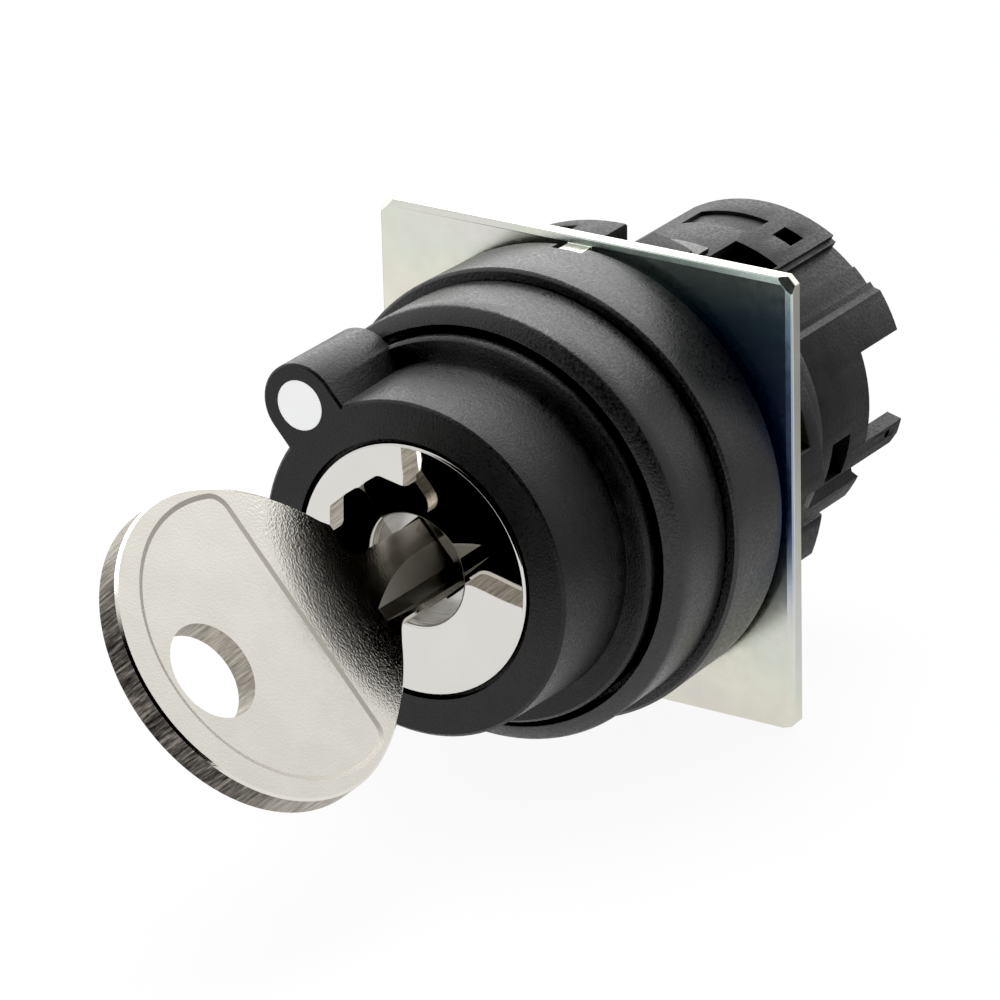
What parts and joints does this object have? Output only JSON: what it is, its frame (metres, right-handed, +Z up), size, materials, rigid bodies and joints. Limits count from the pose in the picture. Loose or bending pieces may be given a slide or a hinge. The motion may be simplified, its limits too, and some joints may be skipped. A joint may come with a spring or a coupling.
{
  "type": "selector key switch",
  "caption": "Panel-mount rotary selector switch worked by a removable key, with a round black bezel, square lock plate and threaded lock ring.",
  "frame": {"origin": "on the switch axis, in the plane of the front face of the square lock plate, where the back of the panel gasket bears", "axes": "+Y runs along the switch axis from the key towards the rear, +Z is up with the panel upright, +X is to the right seen from the front"},
  "size_m": [0.03, 0.0676, 0.03],
  "materials": {
    "key": "nickel-plated steel, fine satin on the faces, sheared edge",
    "lock_face": "mirror-polished chromed zinc",
    "lock_plug": "plated die-cast zinc",
    "wafers": "stamped brass",
    "plug_clip": "spring steel",
    "lock_housing": "die-cast zinc, natural",
    "selector_knob": "fine-textured black nylon",
    "pointer_dot": "white insert",
    "knob_seal": "black nitrile",
    "bezel": "fine-textured black nylon",
    "body_sleeve": "fine-textured black nylon",
    "panel_gasket": "black nitrile",
    "lock_plate": "zinc-plated steel with an iridescent passivation",
    "lock_ring": "black nylon",
    "rear_body": "black nylon",
    "end_plate": "black nylon",
    "detent_ring": "hardened steel",
    "detent_ball": "polished bearing steel",
    "detent_spring": "spring steel",
    "cam_rotor": "natural acetal",
    "plunger_left": "natural acetal",
    "plunger_right": "natural acetal",
    "plunger_spring_left": "spring steel",
    "plunger_spring_right": "spring steel"
  },
  "bodies": {
    "case": {"bezel": "bezel", "body_sleeve": "body_sleeve", "panel_gasket": "panel_gasket", "knob_seal": "knob_seal", "lock_housing": "lock_housing", "rear_body": "rear_body", "end_plate": "end_plate", "detent_ring": "detent_ring", "plunger_spring_left": "plunger_spring_left", "plunger_spring_right": "plunger_spring_right"},
    "rotor": {"selector_knob": "selector_knob", "pointer_dot": "pointer_dot", "lock_face": "lock_face", "lock_plug": "lock_plug", "wafers": "wafers", "plug_clip": "plug_clip", "cam_rotor": "cam_rotor", "detent_spring": "detent_spring"},
    "key": {"key": "key"},
    "detent": {"detent_ball": "detent_ball"},
    "left_plunger": {"plunger_left": "plunger_left"},
    "right_plunger": {"plunger_right": "plunger_right"},
    "plate": {"lock_plate": "lock_plate"},
    "ring": {"lock_ring": "lock_ring"}
  },
  "joints": [
    {"name": "selector_turn", "type": "hinge", "parent": "case", "child": "rotor", "pos_m": [0, 0, 0], "axis": [0, 1, 0], "range_deg": [0, 90]},
    {"name": "key_pull", "type": "slide", "parent": "rotor", "child": "key", "axis": [0, -1, 0], "range_m": [0, 0.025]},
    {"name": "detent_press", "type": "slide", "parent": "rotor", "child": "detent", "axis": [0.7547, 0, 0.6561], "range_m": [0, 0.0003], "stiffness_N_per_m": 800, "springref_m": -0.0005, "deforming": ["detent_spring"]},
    {"name": "left_plunger_push", "type": "slide", "parent": "case", "child": "left_plunger", "axis": [0, 1, 0], "range_m": [-0.0001, 0.0031], "deforming": ["plunger_spring_left"]},
    {"name": "right_plunger_push", "type": "slide", "parent": "case", "child": "right_plunger", "axis": [0, 1, 0], "range_m": [-0.0031, 0.0001], "deforming": ["plunger_spring_right"]},
    {"name": "plate_slide", "type": "slide", "parent": "case", "child": "plate", "axis": [0, 1, 0], "range_m": [0, 0.005]},
    {"name": "ring_turn", "type": "hinge", "parent": "plate", "child": "ring", "pos_m": [0, 0, 0], "axis": [0, 1, 0], "range_deg": [0, 1205]}
  ],
  "couplings": [
    {"joint": "left_plunger_push", "follows": "selector_turn", "m_per_rad": 0.0019087},
    {"joint": "right_plunger_push", "follows": "selector_turn", "m_per_rad": -0.0019087},
    {"joint": "ring_turn", "follows": "plate_slide", "rad_per_m": 4188.8}
  ]
}
